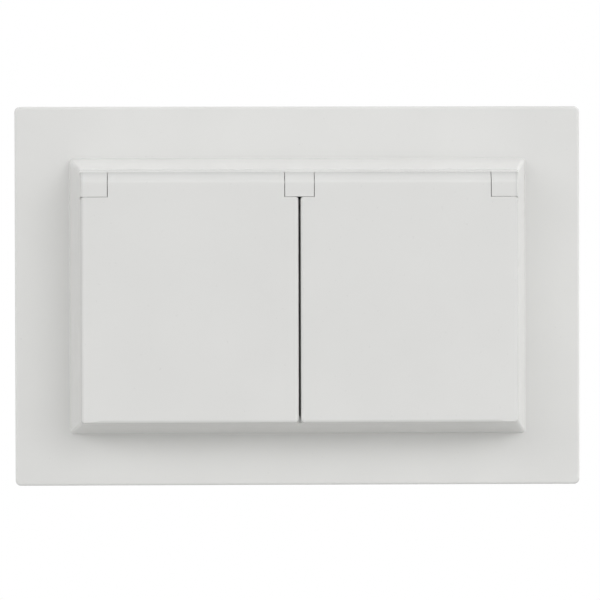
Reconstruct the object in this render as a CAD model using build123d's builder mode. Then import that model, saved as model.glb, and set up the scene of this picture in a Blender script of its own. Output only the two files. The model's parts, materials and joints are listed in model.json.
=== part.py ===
from build123d import *
from math import cos, hypot, pi, radians, sin, tan
import os

# Weatherproof double socket, closed, in millimetres.
# X is to the right, Z is up and the front looks along -Y. The wall is the plane y = 0.
# The origin is the middle of the two wall-box screws, on the back of the support plate.
# A height is a distance in front of the wall. Behind the wall it is negative.
# The plug wells and the wall box are standard sizes, and the rest is laid out from them.

# Plug wells
well_radius = 19.75
well_wall = 1.4
well_depth = 17.6
well_mouth = 0.6
well_key_width = 5.0
well_key_reach = 1.6
well_key_low = 2.5
floor_wall = 2.2
floor_step = 1.1
floor_lip = 1.15
floor_clear = 0.15
pin_hole_radius = 2.65
pin_hole_pitch = 19.0

# Frame plate, with its border beside the collar
frame_rise = 1.4
frame_border = 12.25
frame_front = 9.0
frame_wall = 2.2
frame_corner = 1.2
frame_edge = 0.6
rib_wall = 1.2
rib_reach = 8.0
side_rib_count = 3
side_rib_pitch = 25.0
end_rib_count = 4
end_rib_pitch = 28.0

# Raised collar
collar_draft = 9.25
collar_wall = 1.6
collar_corner = 0.75
collar_root = 0.15

# Lids
lid_face = 30.5
lid_wall = 2.2
lid_gap = 0.45
lid_edge = 0.7
lid_corner = 0.9
lid_parting = 0.3
skirt_depth = 4.0
skirt_wall = 1.0
skirt_clear = 0.5
skirt_room = 0.64

# Hinge
barrel_radius = 2.4
barrel_clear = 0.3
knuckle_end = 5.6
knuckle_mid = 6.3
knuckle_lip = 3.0
knuckle_root = 5.5
knuckle_side_clear = 0.15
knuckle_gap = 0.08
brow_back = 1.3
pin_radius = 0.75
pin_fit = 0.02
pin_play = 0.08
pin_wall = 0.8

# Springs, wound from a wire drawn with flat sides
coil_sides = 8
lid_coil_radius = 1.1
lid_coil_wire = 0.4
lid_coil_turns = 4
lid_coil_length = 4.4
lid_coil_clear = 0.2
lid_coil_end_clear = 0.35
tang_length = 1.0
tang_clear = 0.2
shutter_coil_radius = 0.75
shutter_coil_wire = 0.3
shutter_coil_turns = 6
shutter_coil_length = 10.4
shutter_coil_offset = 5.0
shutter_coil_clear = 0.3

# Seals
seal_proud = 1.4
seal_sunk = 0.5
seal_margin = 0.15
seal_rest_gap = 0.1
wall_seal_width = 2.4
wall_seal_height = 2.9
wall_seal_clear = 0.1

# Deck around the wells, with its seal and the ledge that carries it
deck_drop = 5.6
deck_wall = 1.6
deck_lap = 1.55
deck_clear = 0.3
deck_seal_wall = 0.8
ledge_wall = 1.5
ledge_clear = 0.3

# Cover screws and their nuts
screw_radius = 1.5
screw_clear = 0.2
screw_head_radius = 3.0
screw_head_height = 1.9
screw_head_sunk = 1.2
screw_cross_width = 0.9
screw_cross_length = 3.4
screw_cross_depth = 1.1
nut_width = 5.5
nut_height = 2.4
nut_bore_clear = 0.05
nut_clear = 0.1

# Shutters
shutter_wall = 2.0
shutter_front_clear = 0.1
shutter_back_clear = 0.3
shutter_side_clear = 0.15
shutter_travel = 6.4
shutter_lug = 7.2
shutter_tail = 10.2
shutter_tail_height = 9.0
shutter_ramp_depth = 1.3
shutter_ramp_length = 4.9

# Earth strap with its sprung clips
strap_wall = 0.8
strap_width = 6.0
strap_clear = 0.2
strap_side_clear = 0.1
clip_inset = 2.55
clip_bow = 1.3
clip_foot = 0.5
clip_waist_height = 7.7
clip_height = 12.0
clip_bend = 0.9
clip_slot_clear = 0.3
tab_width = 26.0

# Busbars
sleeve_bore = 2.35
sleeve_wall = 0.6
sleeve_front = 4.4
sleeve_length = 12.9
sleeve_slit = 0.9
sleeve_clear = 0.15
bar_wall = 0.8
bar_depth = 5.0
bar_overhang = 1.5
bar_bite = 0.2
bar_clear = 0.2
terminal_width = 27.0
terminal_end_clear = 3.0

# Terminals
clamp_wall = 0.4
clamp_width = 8.5
clamp_pitch = 16.0
clamp_bend = 0.6
clamp_clear = 0.2
clamp_anchor = 13.0
clamp_turn = 3.6
clamp_tip = 10.5
entry_width = 3.2
entry_pitch = 4.6
button_width = 10.0
button_height = 2.4
button_gap = 1.3
button_proud = 1.8
button_travel = 1.5
button_foot_width = 22.0
button_foot_wall = 1.4
button_foot_lap = 0.4
button_nose_wall = 0.8
button_nose_length = 4.9
button_clear = 0.15

# Insert base, back cover and support plate
base_margin = 1.2
base_corner = 8.0
base_floor = 1.6
body_wall = 1.5
body_depth = 19.0
body_room = 0.15
shelf_wall = 1.2
shelf_width = 30.0
lug_width = 6.0
lug_height = 1.4
lug_reach = 0.8
lug_clear = 0.1
cover_wall = 1.6
cover_tongue_wall = 1.2
cover_tongue_width = 10.0
cover_tongue_length = 4.0
cover_clear = 0.1
plate_wall = 1.5
plate_corner = 4.0
plate_lip = 2.0
plate_clear = 0.3
plate_room = 1.3
box_pitch = 60.0
box_slot_radius = 2.1
box_slot_length = 6.0

# Heights of the wells, the lids and what lies behind them
hinge_height = lid_face - barrel_radius
lid_back = lid_face - lid_wall
collar_rim = lid_back - lid_parting
brow_height = hinge_height - brow_back
well_rim = lid_back - seal_proud - seal_rest_gap
well_floor = well_rim - well_depth
floor_back = well_floor - floor_wall
floor_step_top = floor_back + floor_step
deck_front = well_rim - deck_drop
deck_back = deck_front - deck_wall
ledge_front = deck_back - deck_seal_wall
shutter_front = floor_back - shutter_front_clear
shutter_back = shutter_front - shutter_wall
pocket_back = shutter_back - shutter_back_clear
strap_front = pocket_back - strap_clear
strap_back = strap_front - strap_wall
channel_back = strap_back - strap_clear
nut_back = strap_back - nut_height
base_floor_back = nut_back - nut_clear - base_floor
bar_front = base_floor_back - bar_clear
sleeve_back = sleeve_front - sleeve_length
terminal_back = -body_depth + terminal_end_clear
screw_seat = well_floor - screw_head_sunk
screw_end = nut_back - screw_clear

# Layout seen from the front: the collar goes around the wells, the frame around the support plate
well_outer = well_radius + well_wall
well_x = lid_gap / 2 + skirt_wall + skirt_room + well_outer
skirt_x = well_x + well_outer + skirt_room + skirt_wall
ledge_z = well_outer + ledge_clear
ledge_x = well_x + ledge_z
deck_top = ledge_z + deck_lap
knuckle_bottom = deck_top + deck_clear
hinge_z = knuckle_bottom + knuckle_lip
hinge_y = -hinge_height
slope = tan(radians(collar_draft))
collar_width = 2 * (skirt_x + skirt_clear + collar_wall + slope * (collar_rim - frame_front))
collar_height = 2 * (hinge_z + barrel_radius - frame_rise + slope * (lid_face - frame_front))
plate_height = box_pitch + box_slot_length + 2 * plate_lip
frame_rim = frame_wall + wall_seal_clear + wall_seal_width
frame_width = collar_width + 2 * frame_border
frame_height = 2 * (plate_height / 2 + plate_room + frame_rim + frame_rise)


def collar_x(height):
    """Half the collar's width at a height."""
    return collar_width / 2 - slope * (height - frame_front)


def collar_z(height):
    """Half the collar's own height at a distance in front of the wall."""
    return collar_height / 2 - slope * (height - frame_front)


collar_bottom = frame_rise - collar_z(collar_rim)
skirt_bottom = collar_bottom + collar_wall + skirt_clear
deck_bottom = collar_bottom + collar_wall + deck_clear
deck_x = collar_x(collar_rim) - collar_wall - deck_clear

# Hinge line, from the middle outwards
notch_radius = hypot(barrel_radius, knuckle_lip + knuckle_gap)
end_knuckle_x = collar_x(lid_face) - knuckle_end
barrel_start = knuckle_mid / 2 + knuckle_side_clear
barrel_end = end_knuckle_x - knuckle_side_clear
coil_end = barrel_end - lid_coil_end_clear
coil_start = coil_end - lid_coil_length
coil_room_start = coil_start - lid_coil_end_clear
tang_z = hinge_z - lid_coil_radius
tang_start = coil_room_start - tang_length
tang_end = end_knuckle_x + tang_length
tang_hole = lid_coil_wire / 2 + tang_clear
pin_start = pin_wall
pin_end = collar_x(lid_face) - pin_wall

# Contacts and terminals. The live ones are above the middle and the neutral ones below it.
pin_z = pin_hole_pitch / 2
clip_reach = well_radius - clip_inset
clip_waist = clip_reach - clip_bow
sleeve_radius = sleeve_bore + sleeve_wall
bar_z = pin_z + sleeve_radius - bar_bite
terminal_z = bar_z + bar_wall
entry_z = terminal_z + button_clear + entry_width / 2
button_z = entry_z + entry_width / 2 + button_gap + button_height / 2
terminal_room = button_z + button_height / 2 + 2 * clamp_clear - terminal_z
earth_drop = terminal_z - strap_wall / 2
body_height = 2 * (terminal_z + terminal_room + body_wall)
body_width = 2 * (well_x + sleeve_radius + body_room + body_wall)
body_round = hypot(well_x, pin_z) + sleeve_radius + body_room + body_wall
base_width = 2 * (well_x + well_outer + base_margin)
base_height = 2 * (well_outer + base_margin)


def level(height):
    """The plane at a height in front of the wall, seen from the front."""
    return Plane.XZ.offset(height)


def spread(count, pitch):
    """Places on both sides of zero, a pitch apart."""
    return [(step - (count - 1) / 2) * pitch for step in range(count)]


def block(x0, x1, z0, z1, low, high, mode=Mode.ADD):
    """A straight-sided block between two heights."""
    with BuildSketch(level(low)) as outline:
        with Locations(((x0 + x1) / 2, (z0 + z1) / 2)):
            Rectangle(abs(x1 - x0), abs(z1 - z0))
    extrude(outline.sketch, amount=high - low, mode=mode)


def disc(x, z, radius, low, high, mode=Mode.ADD):
    """A round post or hole between two heights."""
    with BuildSketch(level(low)) as outline:
        with Locations((x, z)):
            Circle(radius)
    extrude(outline.sketch, amount=high - low, mode=mode)


def rod(radius, x0, x1, z=hinge_z, mode=Mode.ADD):
    """A round bar or hole along X, at the hinge pin's height."""
    with BuildSketch(Plane.YZ.offset(min(x0, x1))) as outline:
        with Locations((hinge_y, z)):
            Circle(radius)
    extrude(outline.sketch, amount=abs(x1 - x0), mode=mode)


def mirrored(part):
    """The same piece for the left side."""
    with BuildPart() as other:
        mirror(part, about=Plane.YZ)
    return other.part


def across(part):
    """The same piece for the neutral pole, below the middle."""
    with BuildPart() as other:
        mirror(part, about=Plane.XY)
    return other.part


def lowered(part):
    """The same piece for the earth terminal."""
    with BuildPart() as other:
        with Locations((0, 0, -earth_drop)):
            add(part)
    return other.part


def save(part, name):
    part.label = name
    export_step(part, f"parts/{name}.step")


def make_block_stock():
    """The whole raised block, from the frame's face to the lids' face."""
    with BuildPart() as stock:
        with BuildSketch(level(frame_front)):
            with Locations((0, frame_rise)):
                Rectangle(collar_width, collar_height)
        extrude(amount=lid_face - frame_front, taper=collar_draft)
        upright = stock.edges().filter_by(lambda edge: abs((edge % 0.5).Y) > 0.5)
        fillet(upright, collar_corner)
    return stock.part


block_stock = make_block_stock()


def make_knuckle(x0, x1):
    """A hinge knuckle, trimmed to the slope of the block."""
    back = -(hinge_height - knuckle_root)
    crown = hinge_z + barrel_radius
    top = frame_rise + collar_height / 2
    with BuildPart() as knuckle:
        with BuildSketch(Plane.YZ.offset(x0)):
            with BuildLine():
                Line((-lid_face, knuckle_bottom), (-lid_face, hinge_z))
                RadiusArc((-lid_face, hinge_z), (hinge_y, crown), barrel_radius)
                Polyline(
                    (hinge_y, crown),
                    (-brow_height, crown),
                    (-brow_height, top),
                    (back, top),
                    (back, knuckle_bottom),
                    (-lid_face, knuckle_bottom),
                )
            make_face()
        extrude(amount=x1 - x0)
        add(block_stock, mode=Mode.INTERSECT)
    return knuckle.part


def make_front_cover():
    """Frame plate and collar in one moulding."""
    inner_x = frame_width / 2 - frame_wall
    inner_z = frame_height / 2 - frame_wall
    plate_back = frame_front - frame_wall
    with BuildPart() as cover:
        with BuildSketch(level(0)):
            with Locations((0, frame_rise)):
                RectangleRounded(frame_width, frame_height, frame_corner)
        extrude(amount=frame_front)
        fillet(cover.faces().sort_by(Axis.Y)[0].edges(), frame_edge)
        add(block_stock)
        border = cover.faces().filter_by_position(Axis.Y, -frame_front, -frame_front)[0]
        fillet(border.inner_wires()[0].edges(), collar_root)
        # The rim, with the brow behind the hinge line set lower
        wide = frame_width / 2
        tall = frame_height
        block(-wide, wide, -tall, tall, collar_rim, lid_face, Mode.SUBTRACT)
        block(-wide, wide, knuckle_bottom, tall, brow_height, lid_face, Mode.SUBTRACT)
        # The hollow of the frame and of the collar
        block(-inner_x, inner_x, frame_rise - inner_z, frame_rise + inner_z, 0, plate_back, Mode.SUBTRACT)
        with BuildSketch(level(plate_back)):
            with Locations((0, frame_rise)):
                Rectangle(2 * (collar_x(plate_back) - collar_wall), 2 * (collar_z(plate_back) - collar_wall))
        extrude(amount=collar_rim - plate_back, taper=collar_draft, mode=Mode.SUBTRACT)
        # The ledge that carries the deck, rooted halfway into the collar's wall
        with BuildSketch(level(ledge_front)):
            root_x = collar_x(ledge_front) - collar_wall / 2
            root_z = collar_z(ledge_front) - collar_wall / 2
            with Locations((0, frame_rise)):
                Rectangle(2 * root_x, 2 * root_z)
            Rectangle(2 * ledge_x, 2 * ledge_z, mode=Mode.SUBTRACT)
        extrude(amount=-ledge_wall)
        # Room for the lids' barrels, then the knuckles with their holes
        for side in (-1, 1):
            clear_radius = barrel_radius + barrel_clear
            rod(clear_radius, side * knuckle_mid / 2, side * end_knuckle_x, mode=Mode.SUBTRACT)
        add(make_knuckle(-knuckle_mid / 2, knuckle_mid / 2))
        add(make_knuckle(end_knuckle_x, collar_width / 2))
        add(make_knuckle(-collar_width / 2, -end_knuckle_x))
        for side in (-1, 1):
            rod(pin_radius + pin_fit, side * pin_start, side * pin_end, mode=Mode.SUBTRACT)
            tang_hole_end = tang_end + tang_clear
            rod(tang_hole, side * end_knuckle_x, side * tang_hole_end, tang_z, Mode.SUBTRACT)
        # Ribs behind the frame, which stop the wall seal
        rib_low = wall_seal_height + wall_seal_clear
        half = rib_wall / 2
        for side in (-1, 1):
            for place in spread(side_rib_count, side_rib_pitch):
                z = frame_rise + place
                block(side * inner_x, side * (inner_x - rib_reach), z - half, z + half, rib_low, plate_back)
            for x in spread(end_rib_count, end_rib_pitch):
                z0 = frame_rise + side * inner_z
                z1 = frame_rise + side * (inner_z - rib_reach)
                block(x - half, x + half, z0, z1, rib_low, plate_back)
    return cover.part


def make_lid():
    """The right lid, with its barrel, skirt and seal groove."""
    inner = lid_gap / 2
    skirt_back = lid_back - skirt_depth
    skirt_top = hinge_z - barrel_radius - lid_wall
    with BuildPart() as lid:
        block(inner, frame_width, -frame_height, hinge_z, lid_back, lid_face)
        add(block_stock, mode=Mode.INTERSECT)
        inner_corner = lid.faces().sort_by(Axis.X)[0].edges().sort_by(Axis.Z)[0]
        fillet(inner_corner, lid_corner)
        outer_edges = lid.faces().sort_by(Axis.Y)[0].edges().sort_by(Axis.Z)[:-1]
        fillet(outer_edges, lid_edge)
        rod(barrel_radius, barrel_start, barrel_end)
        # Skirt on three sides
        block(inner, inner + skirt_wall, skirt_bottom, skirt_top, skirt_back, lid_back)
        block(skirt_x - skirt_wall, skirt_x, skirt_bottom, skirt_top, skirt_back, lid_back)
        block(inner, skirt_x, skirt_bottom, skirt_bottom + skirt_wall, skirt_back, lid_back)
        # Notches that turn around the knuckles
        rod(notch_radius, 0, barrel_start, mode=Mode.SUBTRACT)
        rod(notch_radius, barrel_end, frame_width / 2, mode=Mode.SUBTRACT)
        # Pin bore, room for the spring and the hole for its tang
        coil_room = lid_coil_radius + lid_coil_wire / 2 + lid_coil_clear
        rod(pin_radius + pin_play, barrel_start, barrel_end, mode=Mode.SUBTRACT)
        rod(coil_room, coil_room_start, barrel_end, mode=Mode.SUBTRACT)
        rod(tang_hole, tang_start - tang_clear, coil_room_start, tang_z, Mode.SUBTRACT)
        # Groove for the seal
        with BuildSketch(level(lid_back)):
            with Locations((well_x, 0)):
                Circle(well_outer + 2 * seal_margin)
                Circle(well_radius, mode=Mode.SUBTRACT)
        extrude(amount=seal_sunk, mode=Mode.SUBTRACT)
    return lid.part


def make_lid_seal():
    """Rubber ring that closes on the well's rim."""
    with BuildPart() as seal:
        with BuildSketch(level(lid_back - seal_proud)):
            with Locations((well_x, 0)):
                Circle(well_outer + seal_margin)
                Circle(well_radius + seal_margin, mode=Mode.SUBTRACT)
        extrude(amount=seal_proud + seal_sunk)
    return seal.part


def make_hinge_pin():
    with BuildPart() as pin:
        rod(pin_radius, pin_start + pin_fit, pin_end - pin_fit)
    return pin.part


def make_coil(start, length, y, z, radius, wire, turns):
    """A coil along X, which begins and ends below its axis."""
    steps = turns * coil_sides
    rise = (length - wire) / steps
    points = []
    for step in range(steps + 1):
        angle = 2 * pi * step / coil_sides
        points.append((start + wire / 2 + rise * step, y + radius * sin(angle), z - radius * cos(angle)))
    with BuildPart() as coil:
        with BuildLine() as path:
            Polyline(*points)
        with BuildSketch(Plane(path.line @ 0, x_dir=(1, 0, 0), z_dir=path.line % 0)):
            Rectangle(wire, wire)
        sweep(path=path.line, transition=Transition.RIGHT)
    return coil.part


def make_lid_spring():
    """Torsion spring around the pin, with a straight tang at each end."""
    half = lid_coil_wire / 2
    low = hinge_height - half
    high = hinge_height + half
    with BuildPart() as spring:
        add(
            make_coil(
                coil_start, lid_coil_length, hinge_y, hinge_z, lid_coil_radius, lid_coil_wire, lid_coil_turns
            )
        )
        block(tang_start, coil_start + lid_coil_wire, tang_z - half, tang_z + half, low, high)
        block(coil_end - lid_coil_wire, tang_end, tang_z - half, tang_z + half, low, high)
    return spring.part


def make_socket_front():
    """Two plug wells joined by a deck."""
    key = well_key_width / 2
    web = well_wall / 2
    with BuildPart() as front:
        block(-deck_x, deck_x, deck_bottom, deck_top, deck_back, deck_front)
        for side in (-1, 1):
            disc(side * well_x, 0, well_outer, floor_back, well_rim)
        # Web between the wells
        block(-well_x, well_x, -web, web, well_floor, deck_back)
        for side in (-1, 1):
            x = side * well_x
            disc(x, 0, well_radius, floor_step_top, well_rim, Mode.SUBTRACT)
            disc(x, 0, well_radius - floor_lip, floor_back, floor_step_top, Mode.SUBTRACT)
            # Keys that turn the plug the right way round
            for end in (-1, 1):
                key_top = end * (well_radius + web)
                key_tip = end * (well_radius - well_key_reach)
                block(x - key, x + key, key_top, key_tip, well_floor, well_rim - well_key_low)
        rims = front.edges().filter_by(GeomType.CIRCLE).group_by(Axis.Y)[0]
        fillet(rims.group_by(SortBy.RADIUS)[0], well_mouth)
    return front.part


def make_contact_cover():
    """Round floor of the right well, stepped so that it clamps the well's lip."""
    slot = strap_wall / 2 + clip_slot_clear
    slot_z = strap_width / 2 + clip_slot_clear
    with BuildPart() as cover:
        disc(well_x, 0, well_radius - floor_clear, floor_step_top, well_floor)
        disc(well_x, 0, well_radius - floor_lip - floor_clear, floor_back, floor_step_top)
        for end in (-1, 1):
            disc(well_x, end * pin_z, pin_hole_radius, floor_back, well_floor, Mode.SUBTRACT)
            x = well_x + end * clip_reach
            block(x - slot, x + slot, -slot_z, slot_z, floor_back, well_floor, Mode.SUBTRACT)
        disc(well_x, 0, screw_radius + screw_clear, floor_back, well_floor, Mode.SUBTRACT)
        disc(well_x, 0, screw_head_radius + screw_clear, screw_seat, well_floor, Mode.SUBTRACT)
    return cover.part


def make_shutter():
    """Slide behind the right well's pin holes, with a ramp for each pin."""
    lug = shutter_lug / 2
    half = pin_z + lug
    tail = shutter_tail_height / 2
    slot = screw_radius + 2 * screw_clear
    with BuildPart() as shutter:
        block(well_x - lug, well_x + lug, -half, half, shutter_back, shutter_front)
        block(well_x, well_x + shutter_tail, -tail, tail, shutter_back, shutter_front)
        for low in (-half, tail):
            with BuildSketch(Plane.XY.offset(low)) as ramp:
                with BuildLine():
                    Polyline(
                        (well_x + lug - shutter_ramp_length, -shutter_front),
                        (well_x + lug, -shutter_front),
                        (well_x + lug, -shutter_front + shutter_ramp_depth),
                        close=True,
                    )
                make_face()
            extrude(ramp.sketch, amount=half - tail, mode=Mode.SUBTRACT)
        slot_end = well_x + shutter_travel + slot
        block(well_x - slot, slot_end, -slot, slot, shutter_back, shutter_front, Mode.SUBTRACT)
    return shutter.part


def make_shutter_spring():
    """Coil that pushes the right shutter outwards."""
    end = well_x - shutter_lug / 2 - shutter_coil_clear
    return make_coil(
        end - shutter_coil_length,
        shutter_coil_length,
        -(shutter_front + shutter_back) / 2,
        shutter_coil_offset,
        shutter_coil_radius,
        shutter_coil_wire,
        shutter_coil_turns,
    )


def make_earth_strap():
    """One stamping with two sprung clips for each well and the terminal tab."""
    middle = -(strap_front + strap_back) / 2
    half = strap_width / 2
    reach = well_x + clip_waist
    with BuildPart() as strap:
        block(-reach, reach, -half, half, strap_back, strap_front)
        for side in (-1, 1):
            for end in (-1, 1):
                outside = side * well_x + end * clip_reach
                waist = side * well_x + end * clip_waist
                with BuildSketch(Plane.XY.offset(-half)) as clip:
                    with BuildLine():
                        FilletPolyline(
                            (waist - end * clip_bend, middle),
                            (outside, middle),
                            (outside, -well_floor - clip_foot),
                            (waist, -well_floor - clip_waist_height),
                            (outside, -well_floor - clip_height),
                            radius=clip_bend,
                        )
                    trace(line_width=strap_wall)
                extrude(clip.sketch, amount=strap_width)
        for side in (-1, 1):
            disc(side * well_x, 0, screw_radius + screw_clear, strap_back, strap_front, Mode.SUBTRACT)
        tab = tab_width / 2
        block(-tab, tab, -strap_wall / 2, strap_wall / 2, terminal_back, strap_back)
    return strap.part


def make_live_busbar():
    """Two contact sleeves on a bar, with the plate that the wires are clamped to."""
    reach = well_x + bar_overhang
    terminal = terminal_width / 2
    slit = sleeve_slit / 2
    with BuildPart() as busbar:
        for side in (-1, 1):
            disc(side * well_x, pin_z, sleeve_radius, sleeve_back, sleeve_front)
        block(-reach, reach, bar_z, terminal_z, bar_front - bar_depth, bar_front)
        block(-terminal, terminal, bar_z, terminal_z, terminal_back, bar_front)
        for side in (-1, 1):
            x = side * well_x
            disc(x, pin_z, sleeve_bore, sleeve_back, sleeve_front, Mode.SUBTRACT)
            block(x - slit, x + slit, 0, pin_z, sleeve_back, sleeve_front, Mode.SUBTRACT)
    return busbar.part


def make_live_clamps():
    """Bent leaf springs that hold the pushed-in wires against the plate."""
    top = terminal_z + terminal_room - clamp_clear - clamp_wall / 2
    with BuildPart() as clamps:
        for middle in spread(2, clamp_pitch):
            with BuildSketch(Plane.YZ.offset(middle - clamp_width / 2)) as leaf:
                with BuildLine():
                    FilletPolyline(
                        (body_depth - clamp_anchor, top),
                        (body_depth - clamp_turn, top),
                        (body_depth - clamp_tip, terminal_z + clamp_wall),
                        radius=clamp_bend,
                    )
                trace(line_width=clamp_wall)
            extrude(leaf.sketch, amount=clamp_width)
    return clamps.part


def make_live_button():
    """Push button that lifts the clamp springs."""
    half = button_width / 2
    foot = button_foot_width / 2
    foot_low = entry_z + entry_width / 2 - button_foot_lap
    top = button_z + button_height / 2
    head_back = -body_depth - cover_wall - button_proud
    foot_back = -body_depth + cover_clear
    with BuildPart() as button:
        block(-half, half, top - button_height, top, head_back, foot_back)
        block(-foot, foot, foot_low, top, foot_back, foot_back + button_foot_wall)
        nose_top = foot_low + button_nose_wall
        block(-foot, foot, foot_low, nose_top, foot_back, foot_back + button_nose_length)
    return button.part


def body_outline(back, grow=0.0):
    """The outline of what goes into the wall box, at a height and larger by a margin."""
    with BuildSketch(level(back)) as outline:
        Rectangle(body_width + 2 * grow, body_height + 2 * grow)
        Circle(body_round + grow, mode=Mode.INTERSECT)
    return outline.sketch


def make_insert_base():
    """Carrier of the contacts: a flange in front of the plate and a body in the wall box."""
    shelf = shelf_width / 2
    shelf_back = -body_depth + cover_clear + button_foot_wall + button_travel + button_clear
    with BuildPart() as base:
        with BuildSketch(level(plate_wall)):
            RectangleRounded(base_width, base_height, base_corner)
        extrude(amount=floor_back - plate_wall)
        extrude(body_outline(-body_depth), amount=body_depth + plate_wall)
        hollow = body_outline(-body_depth, -body_wall)
        extrude(hollow, amount=body_depth + base_floor_back, mode=Mode.SUBTRACT)
        # Shelves behind the terminal plates, and the roof over the earth clamps
        shelf_tops = (
            bar_z - bar_clear,
            -bar_z + bar_clear + shelf_wall,
            -strap_wall / 2 - bar_clear,
            strap_wall / 2 + terminal_room + shelf_wall,
        )
        for top in shelf_tops:
            block(-shelf, shelf, top - shelf_wall, top, shelf_back, base_floor_back)
        # Channel for the earth strap, with the slot for its tab
        reach = well_x + clip_reach + strap_wall / 2 + clip_slot_clear
        channel = strap_width / 2 + strap_side_clear
        block(-reach, reach, -channel, channel, channel_back, floor_back, Mode.SUBTRACT)
        tab_x = tab_width / 2 + strap_clear
        tab_z = strap_wall / 2 + strap_clear
        block(-tab_x, tab_x, -tab_z, tab_z, base_floor_back, channel_back, Mode.SUBTRACT)
        for side in (-1, 1):
            x = side * well_x
            # Pocket for the shutter
            lug = shutter_lug / 2 + shutter_side_clear
            half = pin_z + lug
            tail = shutter_tail_height / 2 + shutter_side_clear
            tail_end = x + side * (shutter_tail + shutter_side_clear)
            slide_end = x - side * (lug + shutter_travel)
            block(slide_end, x + side * lug, -half, half, pocket_back, floor_back, Mode.SUBTRACT)
            block(x, tail_end, -tail, tail, pocket_back, floor_back, Mode.SUBTRACT)
            # Trough for the shutter's spring
            room = shutter_coil_radius + shutter_coil_wire / 2 + shutter_coil_clear
            low = shutter_coil_offset - room
            high = shutter_coil_offset + room
            coil_end_x = x - side * (shutter_lug / 2 + shutter_coil_length + 2 * shutter_coil_clear)
            block(x, coil_end_x, low, high, pocket_back, floor_back, Mode.SUBTRACT)
            # Holes for the contact sleeves, the nut and the screw
            for end in (-1, 1):
                hole = sleeve_radius + sleeve_clear
                disc(x, end * pin_z, hole, base_floor_back, pocket_back, Mode.SUBTRACT)
            nut = nut_width / 2 + nut_clear
            block(x - nut, x + nut, -nut, nut, nut_back - nut_clear, channel_back, Mode.SUBTRACT)
            disc(x, 0, screw_radius + screw_clear, screw_end - screw_clear, nut_back, Mode.SUBTRACT)
            # Lug that snaps behind the support plate
            wall_x = side * (body_width / 2 - body_wall)
            lug_tip = side * (body_width / 2 + lug_reach)
            lug_half = lug_width / 2
            block(wall_x, lug_tip, -lug_half, lug_half, -lug_clear - lug_height, -lug_clear)
    return base.part


def make_back_cover():
    """Cover with the wire entries and the holes for the release buttons."""
    tongue = cover_tongue_width / 2
    tongue_x = body_width / 2 - body_wall - cover_clear
    tongue_front = -body_depth + cover_tongue_length
    back = -body_depth - cover_wall
    hole_x = button_width / 2 + button_clear
    hole_z = button_height / 2 + button_clear
    entry = entry_width / 2
    with BuildPart() as cover:
        extrude(body_outline(back), amount=cover_wall)
        for side in (-1, 1):
            inside = side * (tongue_x - cover_tongue_wall)
            block(side * tongue_x, inside, -tongue, tongue, -body_depth, tongue_front)
        for z in (button_z, button_z - earth_drop, -button_z):
            block(-hole_x, hole_x, z - hole_z, z + hole_z, back, -body_depth, Mode.SUBTRACT)
        for z in (entry_z, entry_z - earth_drop, -entry_z):
            for middle in spread(2, clamp_pitch):
                for step in spread(2, entry_pitch):
                    x = middle + step
                    block(x - entry, x + entry, z - entry, z + entry, back, -body_depth, Mode.SUBTRACT)
    return cover.part


def make_support_plate():
    """Steel plate that is screwed to the wall box and holds the insert."""
    with BuildPart() as plate:
        with BuildSketch(level(0)):
            RectangleRounded(base_width, plate_height, plate_corner)
            with Locations((0, box_pitch / 2), (0, -box_pitch / 2)):
                SlotOverall(box_slot_length, 2 * box_slot_radius, rotation=90, mode=Mode.SUBTRACT)
        extrude(amount=plate_wall)
        extrude(body_outline(0, plate_clear), amount=plate_wall, mode=Mode.SUBTRACT)
    return plate.part


def make_cover_screws():
    """The two screws in the wells' floors."""
    head_top = screw_seat + screw_head_height
    cross_floor = head_top - screw_cross_depth
    long_half = screw_cross_length / 2
    short_half = screw_cross_width / 2
    with BuildPart() as screws:
        for side in (-1, 1):
            x = side * well_x
            disc(x, 0, screw_head_radius, screw_seat, head_top)
            disc(x, 0, screw_radius, screw_end, screw_seat)
            for dx, dz in ((long_half, short_half), (short_half, long_half)):
                block(x - dx, x + dx, -dz, dz, cross_floor, head_top, Mode.SUBTRACT)
    return screws.part


def make_screw_nuts():
    """Square nuts behind the earth strap."""
    half = nut_width / 2
    with BuildPart() as nuts:
        for side in (-1, 1):
            x = side * well_x
            block(x - half, x + half, -half, half, nut_back, strap_back)
            disc(x, 0, screw_radius + nut_bore_clear, nut_back, strap_back, Mode.SUBTRACT)
    return nuts.part


def make_deck_seal():
    """Flat rubber frame between the deck and the ledge."""
    outer_x = deck_x - seal_margin
    low = deck_bottom + seal_margin
    high = deck_top - seal_margin
    inner_x = ledge_x + seal_margin
    inner_z = ledge_z + seal_margin
    with BuildPart() as seal:
        block(-outer_x, outer_x, low, high, ledge_front, deck_back)
        block(-inner_x, inner_x, -inner_z, inner_z, ledge_front, deck_back, Mode.SUBTRACT)
    return seal.part


def make_wall_seal():
    """Foam frame between the front cover and the wall."""
    x = frame_width / 2 - frame_wall - wall_seal_clear
    z = frame_height / 2 - frame_wall - wall_seal_clear
    with BuildPart() as seal:
        with BuildSketch(level(0)):
            with Locations((0, frame_rise)):
                Rectangle(2 * x, 2 * z)
                Rectangle(2 * (x - wall_seal_width), 2 * (z - wall_seal_width), mode=Mode.SUBTRACT)
        extrude(amount=wall_seal_height)
    return seal.part


os.makedirs("parts", exist_ok=True)

# Single pieces
save(make_front_cover(), "front_cover")
save(make_socket_front(), "socket_front")
save(make_insert_base(), "insert_base")
save(make_back_cover(), "back_cover")
save(make_support_plate(), "support_plate")
save(make_earth_strap(), "earth_strap")
save(make_cover_screws(), "cover_screws")
save(make_screw_nuts(), "screw_nuts")
save(make_deck_seal(), "deck_seal")
save(make_wall_seal(), "wall_seal")

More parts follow.
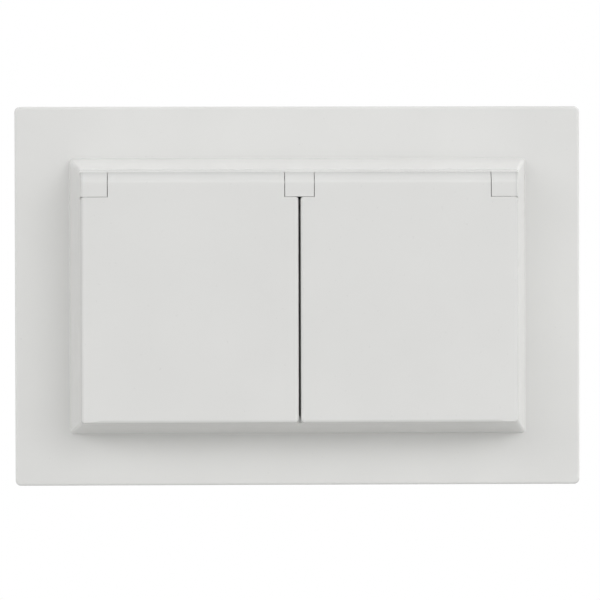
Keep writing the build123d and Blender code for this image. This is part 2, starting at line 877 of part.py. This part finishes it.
# Pieces with a right and a left one
pairs = {
    "lid": make_lid,
    "lid_seal": make_lid_seal,
    "hinge_pin": make_hinge_pin,
    "lid_spring": make_lid_spring,
    "contact_cover": make_contact_cover,
    "shutter": make_shutter,
    "shutter_spring": make_shutter_spring,
}
for name, make in pairs.items():
    right = make()
    save(right, f"right_{name}")
    save(mirrored(right), f"left_{name}")

# Pieces of the live, the neutral and the earth terminal
live_busbar = make_live_busbar()
save(live_busbar, "live_busbar")
save(across(live_busbar), "neutral_busbar")
for name, make in {"clamps": make_live_clamps, "button": make_live_button}.items():
    live = make()
    save(live, f"live_{name}")
    save(across(live), f"neutral_{name}")
    save(lowered(live), f"earth_{name}")
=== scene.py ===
import bpy
import json
from math import cos, log, pi, radians, sin
from mathutils import Matrix, Vector


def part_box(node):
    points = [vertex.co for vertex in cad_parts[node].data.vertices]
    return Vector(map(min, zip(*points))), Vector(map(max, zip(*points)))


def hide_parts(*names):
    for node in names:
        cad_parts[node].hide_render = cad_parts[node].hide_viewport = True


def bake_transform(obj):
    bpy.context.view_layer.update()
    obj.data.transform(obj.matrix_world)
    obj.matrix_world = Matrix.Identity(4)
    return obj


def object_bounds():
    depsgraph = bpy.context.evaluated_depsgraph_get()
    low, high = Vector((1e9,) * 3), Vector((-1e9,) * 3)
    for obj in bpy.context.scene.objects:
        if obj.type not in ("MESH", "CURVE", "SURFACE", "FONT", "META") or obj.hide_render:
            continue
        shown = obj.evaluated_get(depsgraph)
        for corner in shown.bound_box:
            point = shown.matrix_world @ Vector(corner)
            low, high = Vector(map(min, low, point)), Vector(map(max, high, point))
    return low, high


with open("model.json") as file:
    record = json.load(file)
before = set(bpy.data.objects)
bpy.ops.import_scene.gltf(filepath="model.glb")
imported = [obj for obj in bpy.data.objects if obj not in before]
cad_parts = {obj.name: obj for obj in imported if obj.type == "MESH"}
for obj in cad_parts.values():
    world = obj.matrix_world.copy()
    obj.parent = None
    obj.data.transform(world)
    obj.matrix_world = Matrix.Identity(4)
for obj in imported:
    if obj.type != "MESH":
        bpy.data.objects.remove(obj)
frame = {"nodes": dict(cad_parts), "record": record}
cad_low, cad_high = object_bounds()
nodes = frame["nodes"]

# Camera, in metres and degrees, with the focal length and sensor in millimetres. The photograph is taken
# from nearly straight ahead.
CAMERA_AT = Vector((-0.01636, -0.78875, 0.01124))
CAMERA_YAW = 1.240
CAMERA_PITCH = -0.792
CAMERA_ROLL = -0.13
CAMERA_FOCAL = 208.9
CAMERA_SENSOR = 36.0
CAMERA_NEAR = 0.01

# Floor below the socket, which ends before the camera's view reaches it
FLOOR_DROP = 0.12
FLOOR_WIDTH = 1.6
FLOOR_DEPTH = 1.2
FLOOR_BACK = 0.35
FLOOR_PATCH_SIZE = 0.1
FLOOR_DARK = (0.55, 0.55, 0.54)
FLOOR_LIGHT = (0.59, 0.59, 0.58)
FLOOR_ROUGHNESS = 0.8

# Studio light: an even sky with soft boxes in it. Each has its height and its side in degrees, seen from
# the socket with the camera at zero, the half width at which it has faded to half, and its strength.
SKY_BASE = 0.12
SOFT_BOXES = {
    "strip_far_left": (16, -42, 11, 1.75),
    "strip_left": (16, -24, 9, 3.05),
    "strip_mid_left": (16, -10, 8, 1.5),
    "strip_middle": (16, 3, 8, 1.3),
    "strip_mid_right": (16, 16, 8, 5.1),
    "strip_right": (16, 30, 9, 3.2),
    "strip_low_right": (8, 24, 9, 1.1),
    "side_left": (8, -82, 15, 2.4),
    "side_right": (8, 82, 15, 2.5),
    "side_right_high": (30, 80, 15, 0.5),
    "upper_left": (60, -80, 16, 0.5),
    "upper_right": (60, 80, 16, 1.6),
    "behind_left": (40, -112, 14, 1.2),
    "behind_right": (40, 112, 14, 3.9),
    "behind_above": (75, -120, 14, 0.8),
    "behind": (5, 180, 25, 0.9),
    "front_low": (-9, 2, 6, 1.0),
}

# The dark camera, which the lids mirror faintly: the sines of its middle, half size and soft edge, sideways
# and upwards
DARK_MIDDLE = (0.021, -0.017)
DARK_HALF = (0.075, 0.036)
DARK_EDGE = 0.018

# Most of a noise lies between these two values
NOISE_LOW = 0.3
NOISE_HIGH = 0.7

# Moulded plastic, with sizes in metres: cloudy patches of colour and of gloss, specks and a fine grain
PLASTIC_IOR = 1.45
PATCH_SIZE = 0.02
PATCH_SHARE = 0.012
GLOSS_SIZE = 0.004
GLOSS_SHARE = 0.02
SPECK_SIZE = 0.0007
SPECK_LOW = 0.21
SPECK_HIGH = 0.25
GRAIN_SIZE = 0.0004
GRAIN_STRENGTH = 0.05
GRAIN_HEIGHT = 0.000002

# Painted shade: grey lines painted along the hinge crease and in the seams beside the lids, only in front of
# the depth on Y set below the table. Each line has its axis, its middle on that axis, the half width where
# it has faded out, and its darkness in the middle.
PAINTED_SHADE_LINES = {
    "hinge": ("Z", 0.0285, 0.0014, 0.18),
    "seams": ("X", 0.0474, 0.00045, 0.10),
}
PAINTED_SHADE_BACK = -0.0276

# Springs, in metres
WIRE_SIDES = 10
TURN_STEPS = 28
LID_COIL_RADIUS = 0.0011
LID_COIL_WIRE = 0.0004
LID_COIL_TURNS = 4
LID_TANG = 0.00135
SHUTTER_COIL_RADIUS = 0.00075
SHUTTER_COIL_WIRE = 0.0003
SHUTTER_COIL_TURNS = 6


class NodeTree:
    """Steps that the materials and the sky share."""

    def __init__(self, tree):
        self.tree = tree

    def feed(self, value, socket):
        """Links an output to a socket, or sets a number on it."""
        if isinstance(value, (int, float)):
            socket.default_value = value
        else:
            self.tree.links.new(value, socket)

    def math(self, operation, *values):
        node = self.tree.nodes.new("ShaderNodeMath")
        node.operation = operation
        for value, socket in zip(values, node.inputs):
            self.feed(value, socket)
        return node.outputs["Value"]

    def axes(self, vector):
        """The outputs X, Y and Z of a vector."""
        node = self.tree.nodes.new("ShaderNodeSeparateXYZ")
        self.feed(vector, node.inputs["Vector"])
        return node.outputs

    def distance(self, value, middle):
        return self.math("ABSOLUTE", self.math("SUBTRACT", value, middle))

    def fade(self, value, start, end):
        """From 0 at the start to 1 at the end, smoothly."""
        node = self.tree.nodes.new("ShaderNodeMapRange")
        node.interpolation_type = "SMOOTHSTEP"
        node.inputs["From Min"].default_value = start
        node.inputs["From Max"].default_value = end
        self.feed(value, node.inputs["Value"])
        return node.outputs["Result"]


class Surface(NodeTree):
    """A node material with the coordinates of the part, in metres."""

    def __init__(self, name, roughness, metallic=0.0):
        self.material = bpy.data.materials.new(name)
        self.material.use_nodes = True
        super().__init__(self.material.node_tree)
        self.shader = self.tree.nodes["Principled BSDF"]
        self.shader.inputs["Metallic"].default_value = metallic
        self.shader.inputs["Roughness"].default_value = roughness
        self.place = self.tree.nodes.new("ShaderNodeTexCoord").outputs["Object"]

    def noise(self, grain, detail=2.0, stretch=(1, 1, 1)):
        """Cloudy values from 0 to 1 with patches of about the grain's size in metres."""
        mapping = self.tree.nodes.new("ShaderNodeMapping")
        mapping.inputs["Scale"].default_value = stretch
        self.feed(self.place, mapping.inputs["Vector"])
        node = self.tree.nodes.new("ShaderNodeTexNoise")
        node.inputs["Scale"].default_value = 1 / grain
        node.inputs["Detail"].default_value = detail
        self.feed(mapping.outputs["Vector"], node.inputs["Vector"])
        return node.outputs["Fac"]

    def ramp(self, value, start, end, low=NOISE_LOW, high=NOISE_HIGH):
        """Colours from start to end, as the value goes from low to high."""
        node = self.tree.nodes.new("ShaderNodeValToRGB")
        first, last = node.color_ramp.elements
        first.position = low
        last.position = high
        first.color = (*start, 1)
        last.color = (*end, 1)
        self.feed(value, node.inputs["Fac"])
        return node.outputs["Color"]

    def spread(self, value, low, high):
        """The value stretched to lie between low and high."""
        node = self.tree.nodes.new("ShaderNodeMapRange")
        node.inputs["To Min"].default_value = low
        node.inputs["To Max"].default_value = high
        self.feed(value, node.inputs["Value"])
        return node.outputs["Result"]

    def multiply(self, first, second):
        node = self.tree.nodes.new("ShaderNodeMix")
        node.data_type = "RGBA"
        node.blend_type = "MULTIPLY"
        node.inputs["Factor"].default_value = 1
        self.feed(first, node.inputs["A"])
        self.feed(second, node.inputs["B"])
        return node.outputs["Result"]

    def painted_shade_line(self, axis, middle, half, share):
        """Painted shade: white, and a little grey along the line. A line on X lies on both sides."""
        place = self.axes(self.place)
        along = place[axis]
        if axis == "X":
            along = self.math("ABSOLUTE", along)
        near = self.fade(self.distance(along, middle), half, 0.0)
        in_front = self.math("LESS_THAN", place["Y"], PAINTED_SHADE_BACK)
        amount = self.math("MULTIPLY", near, in_front)
        grey = 1 - share
        return self.ramp(amount, (1, 1, 1), (grey, grey, grey), low=0, high=1)

    def bump(self, value, strength, height):
        node = self.tree.nodes.new("ShaderNodeBump")
        node.inputs["Strength"].default_value = strength
        node.inputs["Distance"].default_value = height
        self.feed(value, node.inputs["Height"])
        self.feed(node.outputs["Normal"], self.shader.inputs["Normal"])

    def colour(self, output):
        self.feed(output, self.shader.inputs["Base Color"])

    def rough(self, output):
        self.feed(output, self.shader.inputs["Roughness"])


def moulded_plastic(name, colour, roughness, specks=0.0):
    """Moulded plastic: slight cloudiness, a fine grain and, where asked, faint specks and painted shade
    along the hinge crease and in the seams beside the lids.
    """
    surface = Surface(name, roughness)
    pale = [channel * (1 + PATCH_SHARE) for channel in colour]
    dull = [channel * (1 - PATCH_SHARE) for channel in colour]
    tint = surface.ramp(surface.noise(PATCH_SIZE), dull, pale)
    if specks:
        mark = 1 - specks
        specked = surface.noise(SPECK_SIZE, detail=1.0)
        spots = surface.ramp(specked, (mark, mark, mark), (1, 1, 1), low=SPECK_LOW, high=SPECK_HIGH)
        tint = surface.multiply(tint, spots)
        # Painted shade along the hinge crease and in the seams beside the lids, darkening the colour
        for line in PAINTED_SHADE_LINES.values():
            tint = surface.multiply(tint, surface.painted_shade_line(*line))
    surface.colour(tint)
    gloss = surface.noise(GLOSS_SIZE)
    surface.rough(surface.spread(gloss, roughness - GLOSS_SHARE, roughness + GLOSS_SHARE))
    surface.bump(surface.noise(GRAIN_SIZE), GRAIN_STRENGTH, GRAIN_HEIGHT)
    surface.shader.inputs["IOR"].default_value = PLASTIC_IOR
    return surface.material


def sealing_rubber(name, dark, light, roughness):
    """Dull rubber with a coarse grain."""
    surface = Surface(name, roughness)
    surface.colour(surface.ramp(surface.noise(grain=0.003), dark, light))
    surface.rough(surface.spread(surface.noise(grain=0.001), low=roughness - 0.1, high=roughness + 0.1))
    surface.bump(surface.noise(grain=0.0003), strength=0.3, height=0.00003)
    return surface.material


def sheet_metal(name, dark, light, roughness):
    """Rolled metal, with the streaks of the rolling along X."""
    surface = Surface(name, roughness, metallic=1.0)
    streaks = surface.noise(grain=0.0006, detail=3.0, stretch=(0.04, 1, 1))
    surface.colour(surface.ramp(streaks, dark, light))
    surface.rough(surface.spread(streaks, low=roughness - 0.06, high=roughness + 0.08))
    surface.bump(streaks, strength=0.12, height=0.00001)
    return surface.material


materials = {
    "white_plastic": moulded_plastic("white_plastic", (0.77, 0.77, 0.757), roughness=0.26, specks=0.05),
    "grey_plastic": moulded_plastic("grey_plastic", (0.33, 0.34, 0.34), roughness=0.45),
    "base_plastic": moulded_plastic("base_plastic", (0.48, 0.48, 0.46), roughness=0.45),
    "button_plastic": moulded_plastic("button_plastic", (0.68, 0.13, 0.015), roughness=0.4),
    "rubber": sealing_rubber("rubber", (0.022, 0.022, 0.023), (0.038, 0.038, 0.039), roughness=0.7),
    "steel": sheet_metal("steel", (0.46, 0.46, 0.45), (0.62, 0.62, 0.60), roughness=0.3),
    "brass": sheet_metal("brass", (0.55, 0.36, 0.11), (0.72, 0.51, 0.19), roughness=0.28),
}


def dress_nodes():
    """Gives each CAD node the material of its slot in the record."""
    for row in frame["record"]["subparts"]:
        data = nodes[row["node"]].data
        data.materials.clear()
        data.materials.append(materials[row["material_slot"]])


def wire(name, points, radius):
    """A round steel wire along the points."""
    curve = bpy.data.curves.new(name, "CURVE")
    curve.dimensions = "3D"
    curve.bevel_depth = radius
    curve.bevel_resolution = WIRE_SIDES // 2 - 2
    curve.use_fill_caps = True
    spline = curve.splines.new("POLY")
    spline.points.add(len(points) - 1)
    for place, point in zip(spline.points, points):
        place.co = (*point, 1)
    bent = bpy.data.objects.new(name + "_path", curve)
    bpy.context.scene.collection.objects.link(bent)
    bpy.context.view_layer.update()
    mesh = bpy.data.meshes.new_from_object(bent.evaluated_get(bpy.context.evaluated_depsgraph_get()))
    bpy.data.objects.remove(bent)
    mesh.name = name
    mesh.polygons.foreach_set("use_smooth", [True] * len(mesh.polygons))
    mesh.materials.clear()
    mesh.materials.append(materials["steel"])
    piece = bpy.data.objects.new(name, mesh)
    bpy.context.scene.collection.objects.link(piece)
    return piece


def coil_points(start, end, axis_y, axis_z, radius, turns):
    """Turns along X, which begin and end below the axis."""
    steps = turns * TURN_STEPS
    points = []
    for step in range(steps + 1):
        angle = 2 * pi * step / TURN_STEPS
        x = start + (end - start) * step / steps
        points.append((x, axis_y + radius * sin(angle), axis_z - radius * cos(angle)))
    return points


def spring_place(node):
    """The X of the spring's inner and outer end, and the Y and Z of its axis."""
    low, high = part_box(node)
    inner, outer = sorted((low[0], high[0]), key=abs)
    return inner, outer, (low[1] + high[1]) / 2, (low[2] + high[2]) / 2


def make_lid_spring(side, sign):
    """Torsion spring with a straight tang at each end: one in the lid, one in the end knuckle."""
    node = f"{side}_lid_spring"
    inner, outer, axis_y, axis_z = spring_place(node)
    tang = sign * LID_TANG
    coil = coil_points(inner + tang, outer - tang, axis_y, axis_z, LID_COIL_RADIUS, LID_COIL_TURNS)
    below = axis_z - LID_COIL_RADIUS
    points = [(inner, axis_y, below), *coil, (outer, axis_y, below)]
    piece = wire(f"{side}_lid_coil", points, LID_COIL_WIRE / 2)
    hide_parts(node)
    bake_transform(piece)


def make_shutter_spring(side, sign):
    """Compression spring between the insert base and the shutter."""
    node = f"{side}_shutter_spring"
    inner, outer, axis_y, axis_z = spring_place(node)
    half = sign * SHUTTER_COIL_WIRE / 2
    points = coil_points(inner + half, outer - half, axis_y, axis_z, SHUTTER_COIL_RADIUS, SHUTTER_COIL_TURNS)
    piece = wire(f"{side}_shutter_coil", points, SHUTTER_COIL_WIRE / 2)
    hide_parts(node)
    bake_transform(piece)


def make_camera():
    yaw = radians(CAMERA_YAW)
    pitch = radians(CAMERA_PITCH)
    roll = radians(CAMERA_ROLL)
    ahead = Vector((sin(yaw) * cos(pitch), cos(yaw) * cos(pitch), sin(pitch)))
    level_right = Vector((cos(yaw), -sin(yaw), 0))
    level_up = level_right.cross(ahead)
    right = cos(roll) * level_right + sin(roll) * level_up
    up = -sin(roll) * level_right + cos(roll) * level_up
    data = bpy.data.cameras.new("camera")
    data.lens = CAMERA_FOCAL
    data.sensor_width = CAMERA_SENSOR
    data.clip_start = CAMERA_NEAR
    camera = bpy.data.objects.new("camera", data)
    bpy.context.scene.collection.objects.link(camera)
    turn = Matrix((right, up, -ahead)).transposed().to_4x4()
    camera.matrix_world = Matrix.Translation(CAMERA_AT) @ turn
    bpy.context.scene.camera = camera


def make_floor():
    """Plain pale floor, a little below the socket."""
    level = cad_low[2] - FLOOR_DROP
    mesh = bpy.data.meshes.new("floor")
    x = FLOOR_WIDTH / 2
    front = FLOOR_BACK - FLOOR_DEPTH
    corners = [(-x, front, level), (x, front, level), (x, FLOOR_BACK, level), (-x, FLOOR_BACK, level)]
    mesh.from_pydata(corners, [], [(0, 1, 2, 3)])
    surface = Surface("floor", FLOOR_ROUGHNESS)
    surface.colour(surface.ramp(surface.noise(FLOOR_PATCH_SIZE), FLOOR_DARK, FLOOR_LIGHT))
    mesh.materials.append(surface.material)
    floor = bpy.data.objects.new("floor", mesh)
    bpy.context.scene.collection.objects.link(floor)


class Sky(NodeTree):
    """The studio's surroundings, as a node tree that works on the direction of sight."""

    def __init__(self):
        world = bpy.data.worlds.new("studio")
        bpy.context.scene.world = world
        world.use_nodes = True
        super().__init__(world.node_tree)
        self.tree.nodes.clear()
        self.direction = self.tree.nodes.new("ShaderNodeTexCoord").outputs["Generated"]

    def soft_box(self, height, side, width):
        """A round glow in the sky, which fades to half at the width."""
        up = radians(height)
        turn = radians(side)
        middle = (sin(turn) * cos(up), -cos(turn) * cos(up), sin(up))
        node = self.tree.nodes.new("ShaderNodeVectorMath")
        node.operation = "DOT_PRODUCT"
        node.inputs[1].default_value = middle
        self.feed(self.direction, node.inputs[0])
        falloff = log(2) / (1 - cos(radians(width)))
        return self.math("EXPONENT", self.math("MULTIPLY_ADD", node.outputs["Value"], falloff, -falloff))

    def dark_patch(self):
        """From 0 far from the camera to 1 in front of it."""
        direction = self.axes(self.direction)
        share = self.math("LESS_THAN", direction["Y"], 0)
        for axis, middle, half in zip("XZ", DARK_MIDDLE, DARK_HALF):
            away = self.distance(direction[axis], middle)
            share = self.math("MULTIPLY", share, self.fade(away, half + DARK_EDGE, half - DARK_EDGE))
        return share

    def background(self, strength):
        node = self.tree.nodes.new("ShaderNodeBackground")
        node.inputs["Color"].default_value = (1, 1, 1, 1)
        self.feed(strength, node.inputs["Strength"])
        return node.outputs["Background"]

    def finish(self, strength):
        """The camera itself sees plain white."""
        ray = self.tree.nodes.new("ShaderNodeLightPath")
        choice = self.tree.nodes.new("ShaderNodeMixShader")
        self.feed(ray.outputs["Is Camera Ray"], choice.inputs["Fac"])
        self.feed(self.background(strength), choice.inputs[1])
        self.feed(self.background(1.0), choice.inputs[2])
        output = self.tree.nodes.new("ShaderNodeOutputWorld")
        self.feed(choice.outputs["Shader"], output.inputs["Surface"])


def make_sky():
    sky = Sky()
    strength = SKY_BASE
    for height, side, width, power in SOFT_BOXES.values():
        strength = sky.math("MULTIPLY_ADD", sky.soft_box(height, side, width), power, strength)
    light = sky.math("SUBTRACT", 1, sky.dark_patch())
    sky.finish(sky.math("MULTIPLY", strength, light))


dress_nodes()
for side, sign in (("left", -1), ("right", 1)):
    make_lid_spring(side, sign)
    make_shutter_spring(side, sign)
make_camera()
make_floor()
make_sky()
bpy.context.scene.view_settings.view_transform = "Standard"
